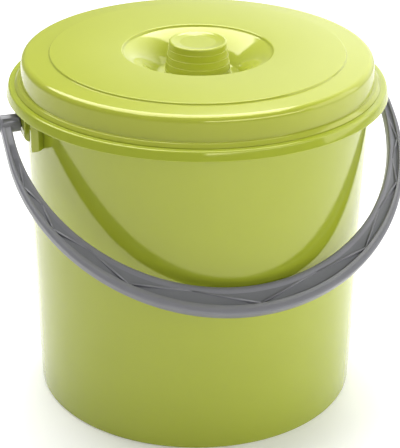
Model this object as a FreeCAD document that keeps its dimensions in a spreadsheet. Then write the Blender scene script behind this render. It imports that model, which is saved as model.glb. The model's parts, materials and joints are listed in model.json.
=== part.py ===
import FreeCAD, Part
import math
import os
import Sketcher

# A sixteen litre household bucket with a lift-off lid and a swinging bail, all injection moulded.
# The frame: the origin is the centre of the foot ring on the floor, +Z is up, and X is the line
# through the two ears that the bail turns in. At rest the bail hangs in front (-Y) on the wall.

DRIVING_SIZES = {
    # bucket
    "flange_height": 281.0,      # floor to the flange's top, which the lid stands on
    "top_radius": 147.0,         # outside of the wall, at the flange's height
    "wall_taper": 6.8,           # how much less the wall's radius is at the floor
    "wall": 1.9,
    "base_wall": 2.4,
    "foot_depth": 3.0,           # the base stands this far off the floor inside the foot ring
    "foot_width": 4.0,
    "foot_round": 1.8,
    "flange_reach": 12.0,        # wall to the flange's edge
    "flange_wall": 1.9,
    "flange_round": 1.6,
    "skirt_drop": 8.0,           # the flange's skirt hangs this far below its top
    "skirt_flare": 2.5,          # and leans out by this much
    "collar_rise": 16.5,         # the rim that stands up inside the lid
    "collar_step": 0.4,
    "collar_lean": 1.4,
    "collar_wall": 1.8,
    # ears
    "pivot_drop": 22.0,          # flange's top to the bail's axis
    "ear_inset": 4.5,            # flange's edge to the ear's face
    "ear_half_width": 17.0,
    "ear_drop": 11.2,            # pivot to the ear's bottom
    "ear_round": 6.0,
    "post_place": 33.0,          # middle of the ear to the post's near side
    "post_inset": 1.0,           # the post's face is this far inside the ear's
    "post_width": 5.0,
    "post_depth": 6.0,
    "post_drop": 12.0,           # pivot to a post's bottom
    "hole_depth": 6.6,
    # lid
    "lid_wall": 1.8,
    "lid_gap": 0.8,              # the lid's wall round the collar
    "lip_height": 3.4,
    "lip_reach": 2.4,
    "lip_flare": 3.2,
    "cap_rise": 23.2,            # flange's top to the lid's shoulder
    "cap_lean": 1.5,
    "shoulder_round": 5.0,
    "ring_width": 22.8,          # shoulder to the step
    "ring_slope": 0.6,
    "step_rise": 1.6,
    "dish_radius": 63.4,
    "dish_depth": 23.4,
    "dish_floor_radius": 34.0,
    "dish_curve": 45.0,
    "dish_rim_round": 1.8,
    "knob_radius": 24.2,         # at the top
    "knob_rise": 7.8,            # above the lid's top
    "knob_ring_height": 6.0,
    "knob_ring_step": 0.5,
    "knob_ring_lean": 0.4,
    "knob_ring_count": 5,
    "knob_top_dip": 1.8,
    "knob_rim_width": 4.0,
    "knob_round": 1.5,
    # bail
    "bail_gap": 1.4,             # the bail's legs pass the skirt's edge
    "leg_width": 8.4,
    "leg_drop": 17.1,            # pivot to the middle of the inner bow
    "grip_width": 24.5,
    "bail_thickness": 9.0,
    "web_thickness": 2.6,
    "rib_thickness": 6.6,
    "inner_band_leg": 2.2,
    "inner_band_grip": 5.4,
    "outer_band_leg": 3.0,
    "outer_band_grip": 8.2,
    "rib_width": 1.4,
    "rib_spacing": 19.5,         # degrees between the rib ends at the middle of the grip
    "rib_spacing_least": 7.0,
    "rib_end_angle": 84.0,
    "leg_solid": 24.0,           # the legs are solid this far below the pivot
    "rest_gap": 0.5,             # hanging bail to the wall
    "hub_radius": 7.5,
    "hub_gap": 0.4,              # hub's end to the ear's face
    "boss_radius": 5.5,
    "boss_rise": 1.0,
    "pin_radius": 4.0,
    "pin_fit": 0.05,             # radial clearance of the pin in the ear
    "pin_end_gap": 0.6,
    "slot_height": 3.6,
    "slot_depth": 2.4,
    "slot_end": 2.6,
}

# Sizes that follow from the driving ones, as the spreadsheet works them out.
DERIVED_SIZES = {
    "base_radius": "top_radius - wall_taper",
    "wall_draft": "wall_taper / flange_height",
    "flange_radius": "top_radius + flange_reach",
    "skirt_radius": "flange_radius + skirt_flare",
    "flange_under": "flange_height - flange_wall",
    "skirt_bottom": "flange_height - skirt_drop",
    "collar_foot_radius": "top_radius - collar_step",
    "collar_top_radius": "collar_foot_radius - collar_lean",
    "collar_top": "flange_height + collar_rise",
    "pivot_height": "flange_height - pivot_drop",
    "ear_face": "flange_radius - ear_inset",
    "floor_top": "foot_depth + base_wall",
    "cap_foot_bore": "collar_foot_radius + lid_gap",
    "cap_top_bore": "cap_foot_bore - cap_lean",
    "cap_foot_radius": "cap_foot_bore + lid_wall",
    "cap_top_radius": "cap_top_bore + lid_wall",
    "lip_radius": "cap_foot_radius + lip_reach",
    "lip_top": "flange_height + lip_height",
    "shoulder_height": "flange_height + cap_rise",
    "step_radius": "cap_top_radius - ring_width",
    "ring_top": "shoulder_height + ring_slope",
    "lid_top": "ring_top + step_rise",
    "dish_floor": "lid_top - dish_depth",
    "knob_top": "lid_top + knob_rise",
    "bail_radius": "skirt_radius + bail_gap",
    "bail_outer_radius": "bail_radius + leg_width",
    "bail_outer_drop": "leg_drop + grip_width - leg_width",
    "hub_start": "ear_face + hub_gap",
    "pin_end": "ear_face - hole_depth + pin_end_gap",
}

doc = FreeCAD.newDocument("lidded_bucket")
sheet = doc.addObject("Spreadsheet::Sheet", "Sizes")


def fill_sheet():
    """Write every size on its own row, with its name beside it as the cell's alias."""
    row = 0
    for name, size in list(DRIVING_SIZES.items()) + list(DERIVED_SIZES.items()):
        row += 1
        sheet.set(f"A{row}", name)
        sheet.set(f"B{row}", str(size) if name in DRIVING_SIZES else f"={size}")
        sheet.setAlias(f"B{row}", name)
    doc.recompute()


NAMES = sorted(list(DRIVING_SIZES) + list(DERIVED_SIZES), key=len, reverse=True)


def bound(formula):
    """Turn a formula in plain size names into one that reads the spreadsheet."""
    words = str(formula).replace("(", " ( ").replace(")", " ) ").split()
    return " ".join(f"Sizes.{word}" if word in NAMES else word for word in words)


def value(formula):
    """The number, in millimetres or degrees, that a formula gives now."""
    return float(sheet.evalExpression(bound(formula)))


def bind(thing, prop, formula):
    """Set a property to a formula's value and keep it tied to the spreadsheet."""
    thing.setExpression(prop, bound(formula))


def new_body(label):
    body = doc.addObject("PartDesign::Body", label)
    body.Label = label
    return body


def new_sketch(body, name, plane, lift="0"):
    """A sketch on one of the body's own origin planes, lifted off it by a formula."""
    sketch = body.newObject("Sketcher::SketchObject", name)
    sketch.AttachmentSupport = [(plane_of(body, plane), "")]
    sketch.MapMode = "FlatFace"
    if lift != "0":
        bind(sketch, "AttachmentOffset.Base.z", lift)
    return sketch


def plane_of(body, role):
    return [item for item in body.Origin.OriginFeatures if item.Role == role][0]


def draw_outline(sketch, corners, bows=()):
    """Close an outline through corners, each a pair of formulas.

    A bow is (index, radius, side): the stretch after that corner is an arc of that radius, which
    bulges to the left (+1) or right (-1) of its chord. An arc stays under half a circle.
    """
    points = [(value(x), value(y)) for x, y in corners]
    arcs = {index: (radius, side) for index, radius, side in bows}
    first = sketch.GeometryCount
    ends = []
    for index, start in enumerate(points):
        stop = points[(index + 1) % len(points)]
        if index in arcs:
            radius, side = arcs[index]
            middle = bow_middle(start, stop, value(radius), side)
            arc = Part.Arc(flat(start), flat(middle), flat(stop))
            sketch.addGeometry(arc, False)
            # A sketch keeps every arc anticlockwise, so one drawn the other way has its ends swapped.
            ends.append((2, 1) if side > 0 else (1, 2))
        else:
            sketch.addGeometry(Part.LineSegment(flat(start), flat(stop)), False)
            ends.append((1, 2))
    for index in range(len(points)):
        after = (index + 1) % len(points)
        sketch.addConstraint(Sketcher.Constraint(
            "Coincident", first + index, ends[index][1], first + after, ends[after][0]))
    for index, (x, y) in enumerate(corners):
        pin_down(sketch, first + index, ends[index][0], "DistanceX", x, -2)
        pin_down(sketch, first + index, ends[index][0], "DistanceY", y, -1)
    for index, (radius, _) in arcs.items():
        number = sketch.addConstraint(Sketcher.Constraint("Radius", first + index, value(radius)))
        bind(sketch, f"Constraints[{number}]", radius)


def pin_down(sketch, line, end, kind, formula, axis):
    """Hold one end of a line at a distance from the sketch's origin, or on its axis."""
    if str(formula) == "0":
        sketch.addConstraint(Sketcher.Constraint("PointOnObject", line, end, axis))
        return
    number = sketch.addConstraint(Sketcher.Constraint(kind, -1, 1, line, end, value(formula)))
    bind(sketch, f"Constraints[{number}]", formula)


def flat(point):
    return FreeCAD.Vector(point[0], point[1], 0)


def bow_middle(start, stop, radius, side):
    """The point halfway along an arc of this radius that bulges to one side of its chord."""
    dx, dy = stop[0] - start[0], stop[1] - start[1]
    chord = math.hypot(dx, dy)
    rise = radius - math.sqrt(max(radius**2 - chord**2 / 4, 0.0))
    return (
        (start[0] + stop[0]) / 2 - dy / chord * rise * side,
        (start[1] + stop[1]) / 2 + dx / chord * rise * side,
    )


def draw_circle(sketch, radius, x="0", y="0"):
    circle = Part.Circle(flat((value(x), value(y))), FreeCAD.Vector(0, 0, 1), value(radius))
    number = sketch.addGeometry(circle, False)
    pin_down(sketch, number, 3, "DistanceX", x, -2)
    pin_down(sketch, number, 3, "DistanceY", y, -1)
    held = sketch.addConstraint(Sketcher.Constraint("Radius", number, value(radius)))
    bind(sketch, f"Constraints[{held}]", radius)


def turn(body, kind, name, corners, bows=()):
    """Revolve an outline of radius and height about Z: a Revolution adds, a Groove cuts."""
    sketch = new_sketch(body, f"{name}_sketch", "XZ_Plane")
    draw_outline(sketch, corners, bows)
    feature = body.newObject(f"PartDesign::{kind}", name)
    feature.Profile = sketch
    feature.ReferenceAxis = (sketch, ["V_Axis"])
    feature.Angle = 360
    doc.recompute()


def pad(body, name, sketch, length, both_ways=False):
    """Thicken a sketch along its plane's normal, or evenly both ways from it."""
    feature = body.newObject("PartDesign::Pad", name)
    feature.Profile = sketch
    feature.SideType = "Symmetric" if both_ways else "One side"
    bind(feature, "Length", length)
    doc.recompute()


def pocket(body, name, sketch, depth, reverse=False):
    """Cut a sketch's shape out of the body, and make sure that it does cut."""
    before = body.Shape.Volume
    feature = body.newObject("PartDesign::Pocket", name)
    feature.Profile = sketch
    feature.Reversed = reverse
    bind(feature, "Length", depth)
    doc.recompute()
    assert body.Shape.Volume < before - 1.0, f"{name} cuts nothing"


def round_rings(body, name, rings, radius):
    """Fillet the round edges that lie at the given radii and heights."""
    base = body.Tip
    wanted = [(value(ring_radius), value(height)) for ring_radius, height in rings]
    found = []
    for number, edge in enumerate(base.Shape.Edges, 1):
        if not isinstance(edge.Curve, Part.Circle):
            continue
        centre = edge.Curve.Center
        if math.hypot(centre.x, centre.y) > 0.001:
            continue
        for ring_radius, height in wanted:
            if abs(edge.Curve.Radius - ring_radius) < 0.01 and abs(centre.z - height) < 0.01:
                found.append(f"Edge{number}")
    assert len(found) >= len(wanted), f"{name} finds {len(found)} of {len(wanted)} edges"
    feature = body.newObject("PartDesign::Fillet", name)
    feature.Base = (base, found)
    bind(feature, "Radius", radius)
    doc.recompute()


def make_bucket():
    """The bucket: a drafted shell with a foot ring, a skirted flange, a collar and two ears."""
    body = new_body("bucket")
    foot_bore = "base_radius - foot_width"
    turn(body, "Revolution", "outside", [
        ("0", "foot_depth"),
        (foot_bore, "foot_depth"),
        (foot_bore, "0"),
        ("base_radius", "0"),
        ("base_radius + wall_draft * flange_under", "flange_under"),
        ("flange_radius - flange_wall", "flange_under"),
        ("skirt_radius - flange_wall", "skirt_bottom"),
        ("skirt_radius", "skirt_bottom"),
        ("flange_radius", "flange_height"),
        ("collar_foot_radius", "flange_height"),
        ("collar_top_radius", "collar_top"),
        ("0", "collar_top"),
    ])
    add_ears(body)
    cut_inside(body)
    drill_ears(body)
    round_rings(body, "foot_fillet", [("base_radius", "0")], "foot_round")
    round_rings(body, "flange_fillet", [("flange_radius", "flange_height")], "flange_round")
    return body


def add_ears(body):
    """Each ear is a lug that takes the bail's pin, with a post in front that stiffens the flange."""
    top = "flange_under + flange_wall / 2"
    low = "pivot_height - ear_drop"
    lugs = new_sketch(body, "lugs_sketch", "XZ_Plane")
    draw_outline(lugs, [
        ("-1 * ear_face", top),
        ("-1 * ear_face", f"{low} + ear_round"),
        ("-1 * ( ear_face - ear_round )", low),
        ("ear_face - ear_round", low),
        ("ear_face", f"{low} + ear_round"),
        ("ear_face", top),
    ], bows=[(1, "ear_round", -1), (3, "ear_round", -1)])
    pad(body, "lugs", lugs, "2 * ear_half_width", both_ways=True)

    posts = new_sketch(body, "posts_sketch", "XY_Plane", "pivot_height - post_drop")
    for side in (-1, 1):
        add_post(posts, side)
    pad(body, "posts", posts, "pivot_drop + post_drop - flange_wall / 2")


def add_post(sketch, side):
    """A post's footprint: a block near the ear's face, bevelled back into the wall."""
    face = "ear_face - post_inset"
    far = "post_place + post_width"
    bevel = f"{face} - post_depth"
    corners = [
        (face, "post_place"),
        (face, far),
        (bevel, far),
        (f"{bevel} - 2 * post_width", f"{far} - 2 * post_width"),
        (f"{bevel} - 2 * post_width", "post_place - 2 * post_width"),
        (bevel, "post_place"),
    ]
    draw_outline(sketch, [(f"{side} * ( {x} )", f"-1 * ( {y} )") for x, y in corners])


def cut_inside(body):
    """The space inside, with the wall's draft, up through the collar."""
    before = body.Shape.Volume
    turn(body, "Groove", "inside", [
        ("0", "floor_top"),
        ("base_radius + wall_draft * floor_top - wall", "floor_top"),
        ("base_radius + wall_draft * flange_under - wall", "flange_under"),
        ("collar_foot_radius - collar_wall", "flange_height"),
        ("collar_top_radius - collar_wall", "collar_top"),
        ("0", "collar_top"),
    ])
    assert body.Shape.Volume < before / 2, "the inside isn't cut"


def drill_ears(body):
    """A blind hole in each ear's face for the bail's pin."""
    for side, name in ((1, "right_hole"), (-1, "left_hole")):
        sketch = new_sketch(body, f"{name}_sketch", "YZ_Plane", f"{side} * ear_face")
        draw_circle(sketch, "pin_radius + pin_fit", y="pivot_height")
        pocket(body, name, sketch, "hole_depth", reverse=side < 0)


def make_lid():
    """The lid: a cap with a lip round its foot, a dished top and a hollow ringed knob."""
    body = new_body("lid")
    outside, dish_top = lid_outside()
    inside, dish_under = lid_inside()
    turn(body, "Revolution", "shell", outside + inside, bows=[
        (dish_top, "dish_curve", 1),
        (len(outside) + dish_under, "dish_curve + lid_wall", -1),
    ])
    round_rings(body, "shoulder", [("cap_top_radius", "shoulder_height")], "shoulder_round")
    round_rings(body, "dish_rim", [("dish_radius", "lid_top")], "dish_rim_round")
    round_rings(body, "knob_rim", [("knob_radius", "knob_top")], "knob_round")
    return body


def lid_outside():
    """Corners from the lip's foot, over the top, to the middle of the knob."""
    corners = [
        ("cap_foot_bore", "flange_height"),
        ("lip_radius + lip_flare", "flange_height"),
        ("lip_radius", "lip_top"),
        ("cap_foot_radius", "lip_top"),
        ("cap_top_radius", "shoulder_height"),
        ("step_radius", "ring_top"),
        ("step_radius - step_rise / 2", "lid_top"),
        ("dish_radius", "lid_top"),
        ("dish_floor_radius", "dish_floor"),
    ]
    count = int(DRIVING_SIZES["knob_ring_count"])
    for number in range(count, 0, -1):
        out = f"knob_radius + {number - 1} * ( knob_ring_step + knob_ring_lean )"
        top = f"knob_top - {number - 1} * knob_ring_height"
        foot = "dish_floor" if number == count else f"knob_top - {number} * knob_ring_height"
        corners.append((f"{out} + knob_ring_lean", foot))
        corners.append((out, top))
    corners.append(("knob_radius - knob_rim_width", "knob_top - knob_top_dip / 2"))
    corners.append(("0", "knob_top - knob_top_dip"))
    return corners, 7


def lid_inside():
    """Corners from the middle of the knob's hollow, under the top, down to the lip's bore."""
    corners = [
        ("0", "knob_top - knob_top_dip - lid_wall"),
        ("knob_radius - lid_wall", "knob_top - knob_top_dip - lid_wall"),
        ("knob_radius + ( knob_ring_count - 1 ) * knob_ring_step - lid_wall", "dish_floor - lid_wall"),
        ("dish_floor_radius + lid_wall / 2", "dish_floor - lid_wall"),
        ("dish_radius + lid_wall", "lid_top - lid_wall"),
        ("step_radius - step_rise / 2", "lid_top - lid_wall"),
        ("step_radius", "ring_top - lid_wall"),
        ("cap_top_bore", "shoulder_height - lid_wall"),
    ]
    return corners, 3


def bow_corners(radius, drop):
    """Where a bow of this radius, centred this far below the pivot, meets its two legs."""
    return [(f"-1 * ( {radius} )", f"-1 * ( {drop} )"), (radius, f"-1 * ( {drop} )")]


def draw_band(sketch, outer, inner, top):
    """A U-shaped band between two bows, each a radius and a drop, with legs up to a height."""
    corners = [(f"-1 * ( {outer[0]} )", top)]
    corners += half_bow(outer)
    corners += [(outer[0], top), (inner[0], top)]
    corners += half_bow(inner)[::-1]
    corners.append((f"-1 * ( {inner[0]} )", top))
    draw_outline(sketch, corners, bows=[
        (1, outer[0], -1), (2, outer[0], -1), (6, inner[0], 1), (7, inner[0], 1)])


def half_bow(bow):
    """The bow's two ends and its lowest point."""
    radius, drop = bow
    ends = bow_corners(radius, drop)
    return [ends[0], ("0", f"-1 * ( {radius} + {drop} )"), ends[1]]


OUTER_EDGE = ("bail_outer_radius", "bail_outer_drop")
INNER_EDGE = ("bail_radius", "leg_drop")
# The lattice lies between these two bows, and a smooth band runs along each side of it.
LATTICE_OUTER = (
    "bail_outer_radius - outer_band_leg",
    "bail_outer_drop + outer_band_leg - outer_band_grip",
)
LATTICE_INNER = (
    "bail_radius + inner_band_leg",
    "leg_drop + inner_band_grip - inner_band_leg",
)


def make_bail():
    """The bail: a bow of two bands joined by a thin web with a zigzag of ribs, and its hubs."""
    body = new_body("bail")
    layers = (
        ("web", OUTER_EDGE, INNER_EDGE, "0", "web_thickness"),
        ("outer_band", OUTER_EDGE, LATTICE_OUTER, "0", "bail_thickness"),
        ("inner_band", LATTICE_INNER, INNER_EDGE, "0", "bail_thickness"),
    )
    for name, outer, inner, top, thickness in layers:
        sketch = new_sketch(body, f"{name}_sketch", "XY_Plane")
        draw_band(sketch, outer, inner, top)
        pad(body, name, sketch, thickness, both_ways=True)
    add_leg_ends(body)
    add_ribs(body)
    for side, name in ((1, "right"), (-1, "left")):
        add_hub(body, side, name)
    cut_hub_slots(body)
    body.Placement = FreeCAD.Placement(
        FreeCAD.Vector(0, 0, value("pivot_height")),
        FreeCAD.Rotation(FreeCAD.Vector(1, 0, 0), rest_angle()),
    )
    bind(body, "Placement.Base.z", "pivot_height")
    return body


def rest_angle():
    """How far below level the bail points, in degrees, when it hangs on the bucket's wall.

    The lowest corner of the grip's back, at the reach and half thickness given, touches a wall
    that widens upwards with its draft: reach cos a + back sin a = wall, with the rest gap added.
    """
    reach, half = value("bail_radius + leg_drop"), value("bail_thickness / 2")
    draft = value("wall_draft")
    along = reach + draft * half
    across = draft * reach - half
    wall = value("base_radius + rest_gap") + draft * value("pivot_height")
    return math.degrees(math.atan2(across, along) + math.acos(wall / math.hypot(along, across)))


def add_leg_ends(body):
    """The legs are solid next to the hubs."""
    sketch = new_sketch(body, "leg_ends_sketch", "XY_Plane")
    for side in (-1, 1):
        draw_outline(sketch, [
            (f"{side} * bail_radius", "0"),
            (f"{side} * bail_outer_radius", "0"),
            (f"{side} * bail_outer_radius", "-1 * leg_solid"),
            (f"{side} * bail_radius", "-1 * leg_solid"),
        ])
    pad(body, "leg_ends", sketch, "bail_thickness", both_ways=True)


def rib_angles():
    """Angles of the zigzag's corners on one side, closer together where the bow narrows."""
    angles = [0.0]
    spacing, least = value("rib_spacing"), value("rib_spacing_least")
    while True:
        step = spacing
        for _ in range(5):
            step = max(spacing * math.cos(math.radians(angles[-1] + step / 2)), least)
        if angles[-1] + step > value("rib_end_angle"):
            return angles
        angles.append(angles[-1] + step)


def point_on_bow(bow, angle):
    """The point of a bow at an angle from straight down, about the lattice's middle."""
    radius, drop = value(bow[0]), value(bow[1])
    middle = (value(LATTICE_OUTER[1]) + value(LATTICE_INNER[1])) / 2
    turn_by = math.radians(angle)
    down = (middle - drop) * math.cos(turn_by)
    far = math.sqrt(radius**2 - ((middle - drop) * math.sin(turn_by)) ** 2) - down
    return FreeCAD.Vector(far * math.sin(turn_by), -middle - far * math.cos(turn_by), 0)


def add_ribs(body):
    """Ribs run in a zigzag from band to band, starting on the outer band at the middle."""
    sketch = new_sketch(body, "ribs_sketch", "XY_Plane")
    angles = rib_angles()
    bury = value("rib_width")
    for side in (-1, 1):
        for number in range(len(angles) - 1):
            bows = (LATTICE_OUTER, LATTICE_INNER) if number % 2 == 0 else (LATTICE_INNER, LATTICE_OUTER)
            start = point_on_bow(bows[0], side * angles[number])
            stop = point_on_bow(bows[1], side * angles[number + 1])
            draw_rib(sketch, start, stop, bury)
    pad(body, "ribs", sketch, "rib_thickness", both_ways=True)


def draw_rib(sketch, start, stop, bury):
    """One straight rib, as wide as named, with its ends buried in the bands."""
    along = (stop - start).normalize()
    across = FreeCAD.Vector(-along.y, along.x, 0) * (value("rib_width") / 2)
    start, stop = start - along * bury, stop + along * bury
    ring = [start + across, start - across, stop - across, stop + across]
    for index in range(4):
        sketch.addGeometry(Part.LineSegment(ring[index], ring[(index + 1) % 4]), False)


def add_hub(body, side, name):
    """A barrel round the pivot, a low boss on its outer end, and the pin on its inner end."""
    steps = (
        ("hub", "hub_radius", "hub_start", "bail_outer_radius"),
        ("boss", "boss_radius", "bail_outer_radius", "bail_outer_radius + boss_rise"),
        ("pin", "pin_radius", "pin_end", "hub_start"),
    )
    for kind, radius, near, far in steps:
        start = near if side > 0 else f"-1 * ( {far} )"
        sketch = new_sketch(body, f"{name}_{kind}_sketch", "YZ_Plane", start)
        draw_circle(sketch, radius)
        pad(body, f"{name}_{kind}", sketch, f"{far} - ( {near} )")


def cut_hub_slots(body):
    """A moulding slot across the front and the back of each hub."""
    for face, way in (("front", 1), ("back", -1)):
        sketch = new_sketch(body, f"{face}_slots_sketch", "XY_Plane", f"{way} * hub_radius")
        for side in (-1, 1):
            ends = ("hub_start + slot_end", "bail_outer_radius - slot_end")
            near, far = ends if side > 0 else ends[::-1]
            draw_outline(sketch, [
                (f"{side} * ( {near} )", "-1 * slot_height / 2"),
                (f"{side} * ( {far} )", "-1 * slot_height / 2"),
                (f"{side} * ( {far} )", "slot_height / 2"),
                (f"{side} * ( {near} )", "slot_height / 2"),
            ])
        pocket(body, f"{face}_slots", sketch, "slot_depth", reverse=way < 0)


def check_document(bodies):
    """Stop if any object failed, or if a piece isn't one valid solid."""
    for item in doc.Objects:
        bad = {"Invalid", "Error"} & set(item.State)
        assert not bad, f"{item.Name} is {bad}"
    for body in bodies:
        shape = body.Shape
        assert not shape.isNull() and shape.isValid(), f"{body.Label} isn't valid"
        assert len(shape.Solids) == 1, f"{body.Label} has {len(shape.Solids)} solids"


fill_sheet()
pieces = [make_bucket(), make_lid(), make_bail()]
doc.recompute()
check_document(pieces)
os.makedirs("parts", exist_ok=True)
for piece in pieces:
    piece.Shape.exportStep(f"parts/{piece.Label}.step")
    box = piece.Shape.BoundBox
    print(piece.Label, round(piece.Shape.Volume / 1000, 1), "cm3, x", round(box.XMin, 2),
          round(box.XMax, 2), "y", round(box.YMin, 2), round(box.YMax, 2),
          "z", round(box.ZMin, 2), round(box.ZMax, 2))
print("bail hangs", round(rest_angle(), 2), "degrees below level")
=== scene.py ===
import json
import math

import bmesh
import bpy
from mathutils import Matrix, Vector


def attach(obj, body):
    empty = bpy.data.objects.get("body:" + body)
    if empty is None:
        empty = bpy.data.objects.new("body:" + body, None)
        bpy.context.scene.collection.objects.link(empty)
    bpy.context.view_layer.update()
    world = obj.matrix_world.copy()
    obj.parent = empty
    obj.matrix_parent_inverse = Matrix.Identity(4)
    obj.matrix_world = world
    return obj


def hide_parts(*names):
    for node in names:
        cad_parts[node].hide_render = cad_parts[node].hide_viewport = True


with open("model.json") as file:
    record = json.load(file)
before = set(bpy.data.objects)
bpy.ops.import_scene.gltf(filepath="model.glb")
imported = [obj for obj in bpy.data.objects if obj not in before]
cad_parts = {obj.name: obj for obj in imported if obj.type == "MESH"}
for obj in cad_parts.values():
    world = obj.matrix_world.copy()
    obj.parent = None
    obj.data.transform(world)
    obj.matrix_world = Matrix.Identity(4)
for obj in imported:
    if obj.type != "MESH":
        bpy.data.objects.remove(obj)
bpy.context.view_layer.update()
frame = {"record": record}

MM = 0.001
TURN_STEPS = 288               # faces round a revolved piece
ROUND_STEPS = 7                # faces along a rounded corner
ARC_SHARE = 0.48               # most of a side that one arc takes up, so two on it never meet
POLE_RADIUS = 1e-7             # a profile point nearer the axis than this lies on it
SHARP_CORNER = math.radians(35)  # an edge that turns more than this is softened
SOFT_STEPS = 4                 # faces along a softened edge


# ---------------------------------------------------------------- sizes, from the frame outwards

def joint(name):
    """The record of one joint."""
    return next(item for item in frame["record"]["behaviour"]["joints"] if item["name"] == name)


FLANGE_RADIUS = 159.0 * MM
SKIRT_RADIUS = 161.5 * MM
FLANGE_TOP = 281.0 * MM
FOOT_RADIUS = 140.2 * MM
WALL_TOP_RADIUS = 147.0 * MM
WALL = 1.9 * MM
SKIRT_BOTTOM = FLANGE_TOP - 8.0 * MM
FLANGE_UNDER = FLANGE_TOP - WALL
LID_TOP = 306.4 * MM
PIVOT = Vector(joint("bail_swing")["pos_m"])
# The bail's travel runs from resting on the front of the wall to resting on the back of it.
REST_ANGLE = math.radians((joint("bail_swing")["range_deg"][1] - 180) / 2)


def wall_radius(height):
    """Outside of the drafted wall."""
    return FOOT_RADIUS + (WALL_TOP_RADIUS - FOOT_RADIUS) * height / FLANGE_TOP


# ---------------------------------------------------------------- camera

CAMERA_ASIDE = 0.0033
CAMERA_REACH = 1.224
CAMERA_HEIGHT = 0.742
CAMERA_TURN = math.radians(-19)
CAMERA_TILT = math.radians(26.09)
CAMERA_ROLL = 0.010
CAMERA_LENS = 123.6
CAMERA_FAR_END = 50


def make_camera():
    data = bpy.data.cameras.new("camera")
    data.lens = CAMERA_LENS
    data.clip_end = CAMERA_FAR_END
    camera = bpy.data.objects.new("camera", data)
    bpy.context.collection.objects.link(camera)
    turned = Matrix.Rotation(CAMERA_TURN, 4, "Z")
    place = Matrix.Translation((CAMERA_ASIDE, -CAMERA_REACH, CAMERA_HEIGHT))
    tilted = Matrix.Rotation(math.pi / 2 - CAMERA_TILT, 4, "X")
    rolled = Matrix.Rotation(CAMERA_ROLL, 4, "Z")
    camera.matrix_world = turned @ place @ (tilted @ rolled)
    bpy.context.scene.camera = camera


make_camera()


# ---------------------------------------------------------------- mesh helpers

def rounded(corners, closed=False):
    """A smooth outline through corners of (across, up, radius of the arc at the corner)."""
    points = []
    count = len(corners)
    for index, (across, up, radius) in enumerate(corners):
        here = Vector((across, up))
        if radius == 0 or (not closed and index in (0, count - 1)):
            points.append(here)
            continue
        before = Vector(corners[index - 1][:2]) - here
        after = Vector(corners[(index + 1) % count][:2]) - here
        half = before.angle(after) / 2
        back = min(radius / math.tan(half), before.length * ARC_SHARE, after.length * ARC_SHARE)
        radius = back * math.tan(half)
        start = here + before.normalized() * back
        stop = here + after.normalized() * back
        middle = (before.normalized() + after.normalized()).normalized()
        centre = here + middle * radius / math.sin(half)
        sweep = (start - centre).angle_signed(stop - centre)
        for step in range(ROUND_STEPS + 1):
            spoke = (start - centre).copy()
            spoke.rotate(Matrix.Rotation(-sweep * step / ROUND_STEPS, 2))
            points.append(centre + spoke)
    return points


def bow(start, stop, radius, steps=24):
    """Points of an arc from start to stop that bulges to the right of its chord."""
    start, stop = Vector(start), Vector(stop)
    chord = stop - start
    side = Vector((-chord.y, chord.x)).normalized()
    centre = (start + stop) / 2 + side * math.sqrt(radius**2 - (chord.length / 2) ** 2)
    sweep = (start - centre).angle_signed(stop - centre)
    points = []
    for step in range(1, steps):
        spoke = (start - centre).copy()
        spoke.rotate(Matrix.Rotation(-sweep * step / steps, 2))
        points.append(centre + spoke)
    return points


def new_object(name, mesh, material):
    piece = bpy.data.objects.new(name, mesh)
    bpy.context.collection.objects.link(piece)
    mesh.materials.append(material)
    for face in mesh.polygons:
        face.use_smooth = True
    return piece


def revolve(name, profile, material, axis="Z", steps=TURN_STEPS, closed=True):
    """Turn a profile of (radius, along) about an axis. Points on the axis become poles."""
    work = bmesh.new()
    rings = []
    for radius, along in profile:
        if radius < POLE_RADIUS:
            rings.append([work.verts.new(on_axis(0, along, 0, axis))])
            continue
        rings.append([
            work.verts.new(on_axis(radius, along, 2 * math.pi * step / steps, axis))
            for step in range(steps)])
    pairs = list(zip(rings, rings[1:]))
    if closed:
        pairs.append((rings[-1], rings[0]))
    for low, high in pairs:
        join_rings(work, low, high)
    bmesh.ops.recalc_face_normals(work, faces=work.faces)
    mesh = bpy.data.meshes.new(name)
    work.to_mesh(mesh)
    work.free()
    return new_object(name, mesh, material)


def on_axis(radius, along, angle, axis):
    """A place at a radius and an angle round the axis, and some way along it."""
    across, up = radius * math.cos(angle), radius * math.sin(angle)
    return (across, up, along) if axis == "Z" else (along, across, up)


def join_rings(work, low, high):
    """Faces between two rings of vertices, or between a ring and a pole."""
    steps = max(len(low), len(high))
    if steps == 1:
        return
    for step in range(steps):
        after = (step + 1) % steps
        corners = [
            low[step % len(low)], low[after % len(low)],
            high[after % len(high)], high[step % len(high)]]
        work.faces.new(list(dict.fromkeys(corners)))


def slab(name, outline, low, high, material, plane="XY", soften=0.6 * MM):
    """An outline thickened between two places along the third axis, its edges softened."""
    work = bmesh.new()
    order = {"XY": (0, 1, 2), "ZX": (2, 0, 1)}[plane]
    rings = []
    for depth in (low, high):
        ring = []
        for point in outline:
            place = [0.0, 0.0, 0.0]
            place[order[0]], place[order[1]], place[order[2]] = point[0], point[1], depth
            ring.append(work.verts.new(place))
        rings.append(ring)
        work.faces.new(ring)
    join_rings(work, *rings)
    bmesh.ops.recalc_face_normals(work, faces=work.faces)
    mesh = bpy.data.meshes.new(name)
    work.to_mesh(mesh)
    work.free()
    piece = new_object(name, mesh, material)
    if soften:
        edges = piece.modifiers.new("softened_edges", "BEVEL")
        edges.width = soften
        edges.segments = SOFT_STEPS
        edges.limit_method = "ANGLE"
        edges.angle_limit = SHARP_CORNER
    return piece


def cut(piece, tool):
    """Take the tool's shape out of the piece."""
    carve = piece.modifiers.new("carve", "BOOLEAN")
    carve.operation = "DIFFERENCE"
    carve.solver = "EXACT"
    carve.object = tool
    apply_modifiers(piece)
    bpy.data.objects.remove(tool)


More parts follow.
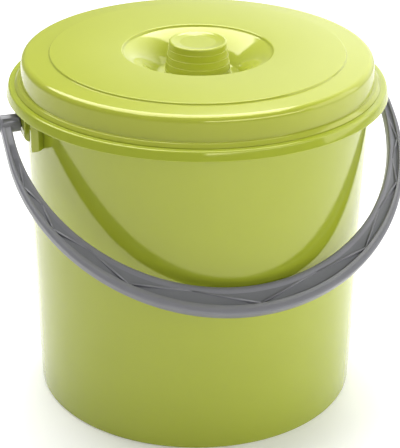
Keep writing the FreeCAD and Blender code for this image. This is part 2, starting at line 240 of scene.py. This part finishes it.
def apply_modifiers(piece):
    """Give the piece the mesh that its modifiers make, and clear them."""
    graph = bpy.context.evaluated_depsgraph_get()
    finished = bpy.data.meshes.new_from_object(piece.evaluated_get(graph))
    piece.modifiers.clear()
    piece.data = finished


# ---------------------------------------------------------------- materials

def linear(hex_colour):
    """An sRGB colour such as 8FA03C as linear red, green, blue and alpha."""
    shades = [int(hex_colour[index:index + 2], 16) / 255 for index in (0, 2, 4)]
    return [c / 12.92 if c <= 0.04045 else ((c + 0.055) / 1.055) ** 2.4 for c in shades] + [1.0]


def add_node(tree, kind, inputs=None, **settings):
    """Add a node, set its properties, and give each input a value or link it to a socket."""
    node = tree.nodes.new(kind)
    for name, setting in settings.items():
        setattr(node, name, setting)
    for name, source in (inputs or {}).items():
        if isinstance(source, bpy.types.NodeSocket):
            tree.links.new(source, node.inputs[name])
        else:
            node.inputs[name].default_value = source
    return node


POLYPROPYLENE_IOR = 1.49
# The Mix node's colour sockets, which share their names with its number and vector ones.
MIX_FIRST, MIX_SECOND, MIX_RESULT = 6, 7, 2


def new_material(name):
    material = bpy.data.materials.new(name)
    material.use_nodes = True
    material.node_tree.nodes.clear()
    return material, material.node_tree


def lime_polypropylene(name, deep, pale, cloud):
    """Injection-moulded polypropylene, polished mould: a glossy skin with faint flow clouds.

    A cloud of the deeper or paler colour is about as large as cloud, and light sinks up to
    6 mm into the plastic.
    """
    material, tree = new_material(name)
    place = add_node(tree, "ShaderNodeTexCoord").outputs["Object"]
    flow = add_node(tree, "ShaderNodeTexNoise", {
        "Vector": place, "Scale": 1 / cloud, "Detail": 3.0, "Roughness": 0.45})
    colour = add_node(tree, "ShaderNodeMix", {
        "Factor": flow.outputs["Fac"], MIX_FIRST: linear(deep),
        MIX_SECOND: linear(pale)}, data_type="RGBA")
    skin = add_node(tree, "ShaderNodeTexNoise", {
        "Vector": place, "Scale": 1 / (9 * MM), "Detail": 2.0})
    roughness = add_node(tree, "ShaderNodeMapRange", {
        "Value": skin.outputs["Fac"], "To Min": 0.08, "To Max": 0.13})
    ripple = add_node(tree, "ShaderNodeBump", {
        "Height": skin.outputs["Fac"], "Strength": 0.05, "Distance": 0.2 * MM})
    surface = add_node(tree, "ShaderNodeBsdfPrincipled", {
        "Base Color": colour.outputs[MIX_RESULT],
        "Roughness": roughness.outputs["Result"],
        "Normal": ripple.outputs["Normal"],
        "IOR": POLYPROPYLENE_IOR,
        "Specular IOR Level": 1.0,
        "Specular Tint": linear("FFF8C8"),
        "Subsurface Weight": 0.25,
        "Subsurface Radius": (0.006, 0.006, 0.002),
        "Subsurface Scale": 1.0,
    })
    add_node(tree, "ShaderNodeOutputMaterial", {"Surface": surface.outputs["BSDF"]})
    return material


def grey_polypropylene(name, deep, pale):
    """Injection-moulded polypropylene, grey: satin gloss with flow streaks and handling scuffs."""
    material, tree = new_material(name)
    place = add_node(tree, "ShaderNodeTexCoord").outputs["Object"]
    flow = add_node(tree, "ShaderNodeTexNoise", {
        "Vector": place, "Scale": 1 / (35 * MM), "Detail": 4.0, "Distortion": 1.2})
    colour = add_node(tree, "ShaderNodeMix", {
        "Factor": flow.outputs["Fac"], MIX_FIRST: linear(deep),
        MIX_SECOND: linear(pale)}, data_type="RGBA")
    scuff = add_node(tree, "ShaderNodeTexNoise", {
        "Vector": place, "Scale": 1 / (4 * MM), "Detail": 5.0, "Roughness": 0.6})
    roughness = add_node(tree, "ShaderNodeMapRange", {
        "Value": scuff.outputs["Fac"], "To Min": 0.24, "To Max": 0.38})
    ripple = add_node(tree, "ShaderNodeBump", {
        "Height": scuff.outputs["Fac"], "Strength": 0.08, "Distance": 0.1 * MM})
    surface = add_node(tree, "ShaderNodeBsdfPrincipled", {
        "Base Color": colour.outputs[MIX_RESULT],
        "Roughness": roughness.outputs["Result"],
        "Normal": ripple.outputs["Normal"],
        "IOR": POLYPROPYLENE_IOR,
    })
    add_node(tree, "ShaderNodeOutputMaterial", {"Surface": surface.outputs["BSDF"]})
    return material


BUCKET_PLASTIC = lime_polypropylene("lime polypropylene bucket", "9BA62E", "A1AC32", 160 * MM)
# The lid is the same lime plastic as the bucket, painted a little paler: painted light, for the
# brighter light on its top.
LID_PLASTIC = lime_polypropylene("lime polypropylene lid", "A3AC37", "A9B13B", 140 * MM)
BAIL_PLASTIC = grey_polypropylene("grey polypropylene bail", "727277", "808085")
# The web is the same grey plastic as the bands, painted a shade darker: painted shade for its
# recess.
WEB_PAINTED_SHADE_PLASTIC = grey_polypropylene("grey polypropylene web, painted shade", "696A6D", "77787B")


# ---------------------------------------------------------------- bucket

PIVOT_HEIGHT = PIVOT.z
EAR_FACE = 154.5 * MM
EAR_HALF_WIDTH = 17.0 * MM
EAR_BOTTOM = PIVOT_HEIGHT - 11.2 * MM
POST_FACE = 153.5 * MM
POST_NEAR = 33.0 * MM
POST_FAR = 38.0 * MM
POST_BOTTOM = PIVOT_HEIGHT - 12.0 * MM
COLLAR_TOP = FLANGE_TOP + 16.5 * MM


def make_bucket():
    """The shell: foot ring, drafted wall, skirted flange, collar and the space inside."""
    floor = 3.0 * MM
    inner_floor = floor + 2.4 * MM
    foot_bore = FOOT_RADIUS - 4.0 * MM
    collar = 146.6 * MM
    profile = rounded([
        (0, floor, 0),
        (foot_bore, floor, 0.8 * MM),
        (foot_bore, 0, 0.8 * MM),
        (FOOT_RADIUS, 0, 1.8 * MM),
        (wall_radius(FLANGE_UNDER), FLANGE_UNDER, 1.0 * MM),
        (FLANGE_RADIUS - WALL, FLANGE_UNDER, 0.8 * MM),
        (SKIRT_RADIUS - WALL, SKIRT_BOTTOM, 0.5 * MM),
        (SKIRT_RADIUS, SKIRT_BOTTOM, 1.1 * MM),
        (FLANGE_RADIUS, FLANGE_TOP, 2.0 * MM),
        (collar, FLANGE_TOP, 0.5 * MM),
        (collar - 1.4 * MM, COLLAR_TOP, 0.8 * MM),
        (collar - 3.2 * MM, COLLAR_TOP, 0.8 * MM),
        (collar - 1.8 * MM, FLANGE_TOP, 3.0 * MM),
        (wall_radius(FLANGE_UNDER) - WALL, FLANGE_UNDER, 3.0 * MM),
        (wall_radius(inner_floor) - WALL, inner_floor, 4.0 * MM),
        (0, inner_floor, 0),
    ])
    shell = revolve("bucket_shell", profile, BUCKET_PLASTIC, closed=False)
    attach(shell, "bucket_body")
    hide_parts("bucket")
    for side in (-1, 1):
        make_ear(side)


def make_ear(side):
    """A lug under the flange that the bail's pin turns in, and the post in front of it."""
    name = "right" if side > 0 else "left"
    top, inner = FLANGE_TOP - 1.0 * MM, 144.9 * MM
    lug = rounded([
        (side * inner, top, 0), (side * EAR_FACE, top, 0),
        (side * EAR_FACE, EAR_BOTTOM, 6 * MM), (side * inner, EAR_BOTTOM, 0)])
    ear = slab(f"ear_lug_{name}", [(point[1], point[0]) for point in lug],
               -EAR_HALF_WIDTH, EAR_HALF_WIDTH, BUCKET_PLASTIC, plane="ZX")
    near, far, bore = side * 147.9 * MM, side * 156 * MM, 4.05 * MM
    hole = revolve("pin_hole", [(0, near), (bore, near), (bore, far), (0, far)],
                   BUCKET_PLASTIC, axis="X", steps=64, closed=False)
    hole.data.transform(Matrix.Translation((0, 0, PIVOT_HEIGHT)))
    cut(ear, hole)
    bevel, back = POST_FACE - 6 * MM, 10 * MM
    footprint = [
        (POST_FACE, -POST_NEAR), (POST_FACE, -POST_FAR), (bevel, -POST_FAR),
        (bevel - back, back - POST_FAR), (bevel - back, back - POST_NEAR), (bevel, -POST_NEAR)]
    post = slab(f"ear_post_{name}", [(side * x, y) for x, y in footprint],
                POST_BOTTOM, top, BUCKET_PLASTIC, plane="XY")
    for piece in (ear, post):
        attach(piece, "bucket_body")


# ---------------------------------------------------------------- lid

def make_lid():
    """A cap over the collar: lip, leaning wall, stepped top, dish and hollow ringed knob."""
    lip_top = FLANGE_TOP + 3.4 * MM
    shoulder = FLANGE_TOP + 23.2 * MM
    ring_top = shoulder + 0.6 * MM
    dish_floor = LID_TOP - 23.4 * MM
    foot_bore, top_bore, skin = 147.4 * MM, 145.9 * MM, 1.8 * MM
    step = 124.9 * MM
    outside = rounded([
        (foot_bore, FLANGE_TOP, 0.3 * MM),
        (154.8 * MM, FLANGE_TOP, 0.5 * MM),
        (151.6 * MM, lip_top, 1.2 * MM),
        (foot_bore + skin, lip_top + 0.2 * MM, 0.5 * MM),
        (top_bore + skin, shoulder, 5.5 * MM),
        (step, ring_top, 0.5 * MM),
        (step - 0.8 * MM, LID_TOP, 0.7 * MM),
        (63.4 * MM, LID_TOP, 1.6 * MM),
        (62.6 * MM, LID_TOP - 1.9 * MM, 0),
    ])
    floor_edge = (34.0 * MM, dish_floor)
    dish = bow(outside[-1], floor_edge, 45 * MM)
    knob = rounded([(36.0 * MM, dish_floor + 0.1 * MM, 0)] + knob_corners(dish_floor))
    inside = rounded([
        (0, 311.0 * MM, 0),
        (21.0 * MM, 310.8 * MM, 2.0 * MM),
        (25.4 * MM, dish_floor - skin, 1.5 * MM),
        (35.0 * MM, dish_floor - skin, 0),
    ])
    under = bow((35.0 * MM, dish_floor - skin), (65.0 * MM, LID_TOP - skin), 47 * MM)
    cap = rounded([
        (65.0 * MM, LID_TOP - skin, 0),
        (step - 1.4 * MM, LID_TOP - skin, 0.8 * MM),
        (step - 0.6 * MM, ring_top - skin, 0.8 * MM),
        (top_bore, shoulder - skin, 3.0 * MM),
        (foot_bore, FLANGE_TOP, 0),
    ])
    profile = [Vector((foot_bore, FLANGE_TOP))] + outside[1:] + dish + knob[1:]
    profile += inside + under + cap[:-1]
    lid = revolve("lid_moulding", profile, LID_PLASTIC, closed=True)
    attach(lid, "lid_body")
    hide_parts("lid")


def knob_corners(dish_floor):
    """Stacked rings that widen downwards, then the dished top with its rounded rim."""
    top, tiers, tier = 314.2 * MM, 5, 6.0 * MM
    lean, ledge, radius = 0.4 * MM, 0.5 * MM, 24.2 * MM
    corners = [(radius + (tiers - 1) * (lean + ledge) + lean, dish_floor, 1.5 * MM)]
    for number in range(tiers, 0, -1):
        out = radius + (number - 1) * (lean + ledge)
        crest = top - (number - 1) * tier
        if number < tiers:
            corners.append((out + lean, crest - tier, 0.15 * MM))
        corners.append((out, crest, 0.35 * MM if number > 1 else 1.5 * MM))
    corners += [
        (radius - 4.0 * MM, top - 0.9 * MM, 3.0 * MM),
        (radius - 9.0 * MM, top - 1.6 * MM, 6.0 * MM),
        (0, top - 1.8 * MM, 0),
    ]
    return corners


# ---------------------------------------------------------------- bail

LEG_DROP = 17.1 * MM
BAIL_RADIUS = SKIRT_RADIUS + 1.4 * MM
LEG_WIDTH = 8.4 * MM
GRIP_WIDTH = 24.5 * MM
HALF_THICK = 4.5 * MM
HALF_WEB = 1.6 * MM
INNER_EDGE = (BAIL_RADIUS, LEG_DROP)
OUTER_EDGE = (BAIL_RADIUS + LEG_WIDTH, LEG_DROP + GRIP_WIDTH - LEG_WIDTH)
LATTICE_INNER = (BAIL_RADIUS + 2.2 * MM, LEG_DROP + 3.2 * MM)
LATTICE_OUTER = (OUTER_EDGE[0] - 3.0 * MM, OUTER_EDGE[1] - 5.2 * MM)
LATTICE_MIDDLE = (LATTICE_INNER[1] + LATTICE_OUTER[1]) / 2
LEG_SOLID = 24.0 * MM          # the web is filled from the pivot down to this level
WEB_TOP = HALF_THICK - 1.0 * MM
WEB_FLATNESS = 0.85            # the cosine of the most that a face of the web leans
LEAST_ANGLE = 1e-6             # sets the first rib of each side off the very middle
SLOT_TURN = Matrix.Rotation(math.radians(15), 4, "X")


def on_bow(edge, angle):
    """Where a spoke at an angle from straight down, from the lattice's middle, meets an edge."""
    radius, drop = edge
    offset = LATTICE_MIDDLE - drop
    far = math.sqrt(radius**2 - (offset * math.sin(angle)) ** 2) - offset * math.cos(angle)
    spot = Vector((far * math.sin(angle), LATTICE_MIDDLE + far * math.cos(angle)))
    if spot.y < drop:
        level = LATTICE_MIDDLE + radius / abs(math.tan(angle))
        spot = Vector((math.copysign(radius, angle), level))
    return spot


def stations(steps=220, leg_steps=14):
    """Inner edge, lattice edges and outer edge, across the bow, from the left leg to the right."""
    edges = (INNER_EDGE, LATTICE_INNER, LATTICE_OUTER, OUTER_EDGE)
    rows = []
    for side in (-1, 1):
        leg = []
        for step in range(leg_steps):
            level = LATTICE_MIDDLE * step / leg_steps
            leg.append([leg_point(edge, level, side) for edge in edges])
        if side < 0:
            rows += leg
            for step in range(steps + 1):
                angle = math.pi * (step / steps - 0.5)
                rows.append([on_bow(edge, angle) for edge in edges])
        else:
            rows += leg[::-1]
    return rows


def leg_point(edge, level, side):
    """Where an edge of the leg lies at a level: straight down, then round into the bow."""
    radius, drop = edge
    if level > drop:
        radius = math.sqrt(radius**2 - (level - drop) ** 2)
    return Vector((side * radius, level))


def section(row):
    """Half of the bail's cross-section: (across from the inner edge, height) up one face."""
    inner, first, second, outer = row
    start, stop, end = (first - inner).length, (second - inner).length, (outer - inner).length
    level = inner.y
    run_out = 3 * MM
    fill = max(0.0, min(1.0, (LEG_SOLID + run_out - level) / run_out))
    web = HALF_WEB + (HALF_THICK - 0.3 * MM - HALF_WEB) * fill
    crown = HALF_THICK + 0.25 * MM
    return rounded([
        (0, 0, 0),
        (0, HALF_THICK - 0.4 * MM, 1.5 * MM),
        (start / 2, crown, 3.0 * MM),
        (start + 0.4 * MM, max(web, HALF_THICK - 0.9 * MM), 2.0 * MM),
        (stop - 0.15 * MM, web, 0.4 * MM),
        (stop, HALF_THICK - 0.2 * MM, 0.6 * MM),
        ((stop + end) / 2, crown, 4.0 * MM),
        (end, HALF_THICK - 0.6 * MM, 1.8 * MM),
        (end, 0, 0),
    ])


def in_bail_plane(spot, height):
    """A place in the bail's own plane, (across, down from the pivot) and height off it, at rest."""
    place = Vector((spot.x, -spot.y, height))
    place.rotate(Matrix.Rotation(REST_ANGLE, 3, "X"))
    return place + PIVOT


def make_bow():
    """The bow: two smooth bands along a recessed web, the web painted a shade darker, swept from
    leg to leg.
    """
    work = bmesh.new()
    rings = []
    for row in stations():
        across = (row[3] - row[0]).normalized()
        face = section(row)
        loop = face + [Vector((u, -w)) for u, w in face[-2:0:-1]]
        rings.append([work.verts.new(in_bail_plane(row[0] + across * u, w)) for u, w in loop])
    for low, high in zip(rings, rings[1:]):
        join_rings(work, low, high)
    work.faces.new(rings[0])
    work.faces.new(rings[-1])
    bmesh.ops.recalc_face_normals(work, faces=work.faces)
    mesh = bpy.data.meshes.new("bail_bow")
    work.to_mesh(mesh)
    work.free()
    piece = new_object("bail_bow", mesh, BAIL_PLASTIC)
    # The flat faces of the web get the darker web material: painted shade.
    mesh.materials.append(WEB_PAINTED_SHADE_PLASTIC)
    upright = Matrix.Rotation(-REST_ANGLE, 3, "X")
    for face in mesh.polygons:
        height = abs((upright @ (face.center - PIVOT)).z)
        if height < WEB_TOP and abs((upright @ face.normal).z) > WEB_FLATNESS:
            face.material_index = 1
    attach(piece, "bail_body")
    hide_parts("bail")


def rib_angles():
    """The zigzag's corners on one side of the middle, closer together where the bow narrows."""
    spacing, least, last, tries = 19.5, 7.0, 84.0, 5
    angles = [0.0]
    while True:
        step = spacing
        for _ in range(tries):
            step = max(spacing * math.cos(math.radians(angles[-1] + step / 2)), least)
        if angles[-1] + step > last:
            return [math.radians(angle) for angle in angles]
        angles.append(angles[-1] + step)


def make_ribs():
    """A zigzag of thin ribs on each face of the web."""
    work = bmesh.new()
    angles = rib_angles()
    for side in (-1, 1):
        for number in range(len(angles) - 1):
            edges = (LATTICE_OUTER, LATTICE_INNER)
            if number % 2:
                edges = edges[::-1]
            start = on_bow(edges[0], side * max(angles[number], LEAST_ANGLE))
            stop = on_bow(edges[1], side * angles[number + 1])
            add_rib(work, start, stop)
    bmesh.ops.recalc_face_normals(work, faces=work.faces)
    mesh = bpy.data.meshes.new("bail_ribs")
    work.to_mesh(mesh)
    work.free()
    piece = new_object("bail_ribs", mesh, BAIL_PLASTIC)
    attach(piece, "bail_body")


def add_rib(work, start, stop):
    """One rib through the web, its section rounded, its ends buried in the bands."""
    half, tall, bury = 0.7 * MM, 3.9 * MM, 1.2 * MM
    along = (stop - start).normalized()
    across = Vector((-along.y, along.x))
    face = rounded([
        (-half * 2, 0, 0), (-half, tall, 0.5 * MM), (half, tall, 0.5 * MM), (half * 2, 0, 0)])
    loop = face + [Vector((u, -w)) for u, w in face[-2:0:-1]]
    rings = []
    for end in (start - along * bury, stop + along * bury):
        rings.append([work.verts.new(in_bail_plane(end + across * u, w)) for u, w in loop])
    join_rings(work, *rings)
    work.faces.new(rings[0])
    work.faces.new(rings[1])


def make_hub(side):
    """A barrel round the pivot with its pin, a low boss on its end, and a slot on each face."""
    name = "right" if side > 0 else "left"
    outer = OUTER_EDGE[0]
    start = EAR_FACE + 0.4 * MM
    pin_end, pin, barrel = 148.0 * MM, 4.0 * MM, 7.5 * MM
    boss_end, boss, boss_rim = outer + 1.0 * MM, 5.5 * MM, 5.0 * MM
    outline = rounded([
        (pin_end, 0, 0),
        (pin_end, pin, 0.6 * MM),
        (start, pin, 0),
        (start, barrel, 0.9 * MM),
        (outer, barrel, 1.0 * MM),
        (outer, boss, 0.3 * MM),
        (boss_end, boss_rim, 0.7 * MM),
        (boss_end, 0, 0),
    ])
    hub = revolve(f"bail_hub_{name}", [(spot.y, side * spot.x) for spot in outline], BAIL_PLASTIC,
                  axis="X", steps=96, closed=False)
    end_wall, half_tall, corner = 2.6 * MM, 1.8 * MM, 0.8 * MM
    slot_floor, past_barrel = 6.8, 9
    near, far = start + end_wall, outer - end_wall
    for face in (-1, 1):
        slot_outline = rounded([
            (near, -half_tall, corner), (far, -half_tall, corner),
            (far, half_tall, corner), (near, half_tall, corner)], closed=True)
        tool = slab("slot_cutter", [(side * x, y) for x, y in slot_outline],
                    face * slot_floor * MM, face * past_barrel * MM, BAIL_PLASTIC, soften=0)
        tool.data.transform(SLOT_TURN)
        cut(hub, tool)
    hub.data.transform(Matrix.Translation(PIVOT) @ Matrix.Rotation(REST_ANGLE, 4, "X"))
    for face in hub.data.polygons:
        face.use_smooth = True
    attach(hub, "bail_body")


make_bucket()
make_lid()
make_bow()
make_ribs()
for hub_side in (-1, 1):
    make_hub(hub_side)


# ---------------------------------------------------------------- floor, light

FLOOR_REACH = 6.0
SOFTBOX_AIM = Vector((0, 0, 0.18))


def make_floor():
    """A matt white floor with a faint glow of its own."""
    material, tree = new_material("pale studio floor")
    surface = add_node(tree, "ShaderNodeBsdfPrincipled", {
        "Base Color": linear("FAFAF9"), "Roughness": 0.6,
        "Emission Color": linear("FFFFFF"), "Emission Strength": 0.09})
    add_node(tree, "ShaderNodeOutputMaterial", {"Surface": surface.outputs["BSDF"]})
    work = bmesh.new()
    bmesh.ops.create_grid(work, x_segments=1, y_segments=1, size=FLOOR_REACH)
    mesh = bpy.data.meshes.new("floor")
    work.to_mesh(mesh)
    work.free()
    new_object("floor", mesh, material)


def add_softbox(name, place, size, power):
    """A rectangular soft light that faces the middle of the object."""
    data = bpy.data.lights.new(name, "AREA")
    data.shape = "RECTANGLE"
    data.size, data.size_y = size
    data.energy = power
    lamp = bpy.data.objects.new(name, data)
    bpy.context.collection.objects.link(lamp)
    lamp.location = place
    lamp.rotation_euler = (SOFTBOX_AIM - Vector(place)).to_track_quat("-Z", "Y").to_euler()


def from_camera_side(azimuth, distance, height):
    """A place round the object, its azimuth in degrees to the right of the camera's side."""
    angle = math.radians(azimuth) + CAMERA_TURN
    return (distance * math.sin(angle), -distance * math.cos(angle), height)


def make_sky():
    """A white sky, brighter over a soft-edged patch at the back right."""
    dim, back_glow, right_glow = 0.28, 0.30, 1.3
    left_edge, front_edge = (-0.16, 0.22), (0.2, 0.8)
    world = bpy.data.worlds.new("studio")
    bpy.context.scene.world = world
    world.use_nodes = True
    tree = world.node_tree
    tree.nodes.clear()
    facing = add_node(tree, "ShaderNodeTexCoord").outputs["Generated"]
    to_the_right = add_node(tree, "ShaderNodeVectorMath", {
        0: facing, 1: from_camera_side(90, 1.0, 0.0)}, operation="DOT_PRODUCT")
    to_the_back = add_node(tree, "ShaderNodeVectorMath", {
        0: facing, 1: from_camera_side(180, 1.0, 0.0)}, operation="DOT_PRODUCT")
    patch_left_edge = add_node(tree, "ShaderNodeMapRange", {
        "Value": to_the_right.outputs["Value"],
        "From Min": left_edge[0], "From Max": left_edge[1]}, interpolation_type="SMOOTHSTEP")
    brightest = add_node(tree, "ShaderNodeMath", {
        0: patch_left_edge.outputs["Result"], 1: right_glow, 2: back_glow},
        operation="MULTIPLY_ADD")
    strength = add_node(tree, "ShaderNodeMapRange", {
        "Value": to_the_back.outputs["Value"],
        "From Min": front_edge[0], "From Max": front_edge[1],
        "To Min": dim, "To Max": brightest.outputs["Value"]}, interpolation_type="SMOOTHSTEP")
    sky = add_node(tree, "ShaderNodeBackground", {
        "Color": linear("FFFFFF"), "Strength": strength.outputs["Result"]})
    add_node(tree, "ShaderNodeOutputWorld", {"Surface": sky.outputs["Background"]})


def make_light():
    """The sky and three soft lights: overhead, a long strip in front, and the right side."""
    make_sky()
    add_softbox("overhead", from_camera_side(205, 0.7, 2.0), (2.2, 2.2), 66)
    add_softbox("front_strip", from_camera_side(37, 1.9, 1.0), (2.4, 0.42), 15)
    add_softbox("right_side", from_camera_side(95, 1.7, 0.8), (1.4, 1.2), 9)


make_floor()
make_light()
bpy.context.scene.view_settings.view_transform = "Standard"
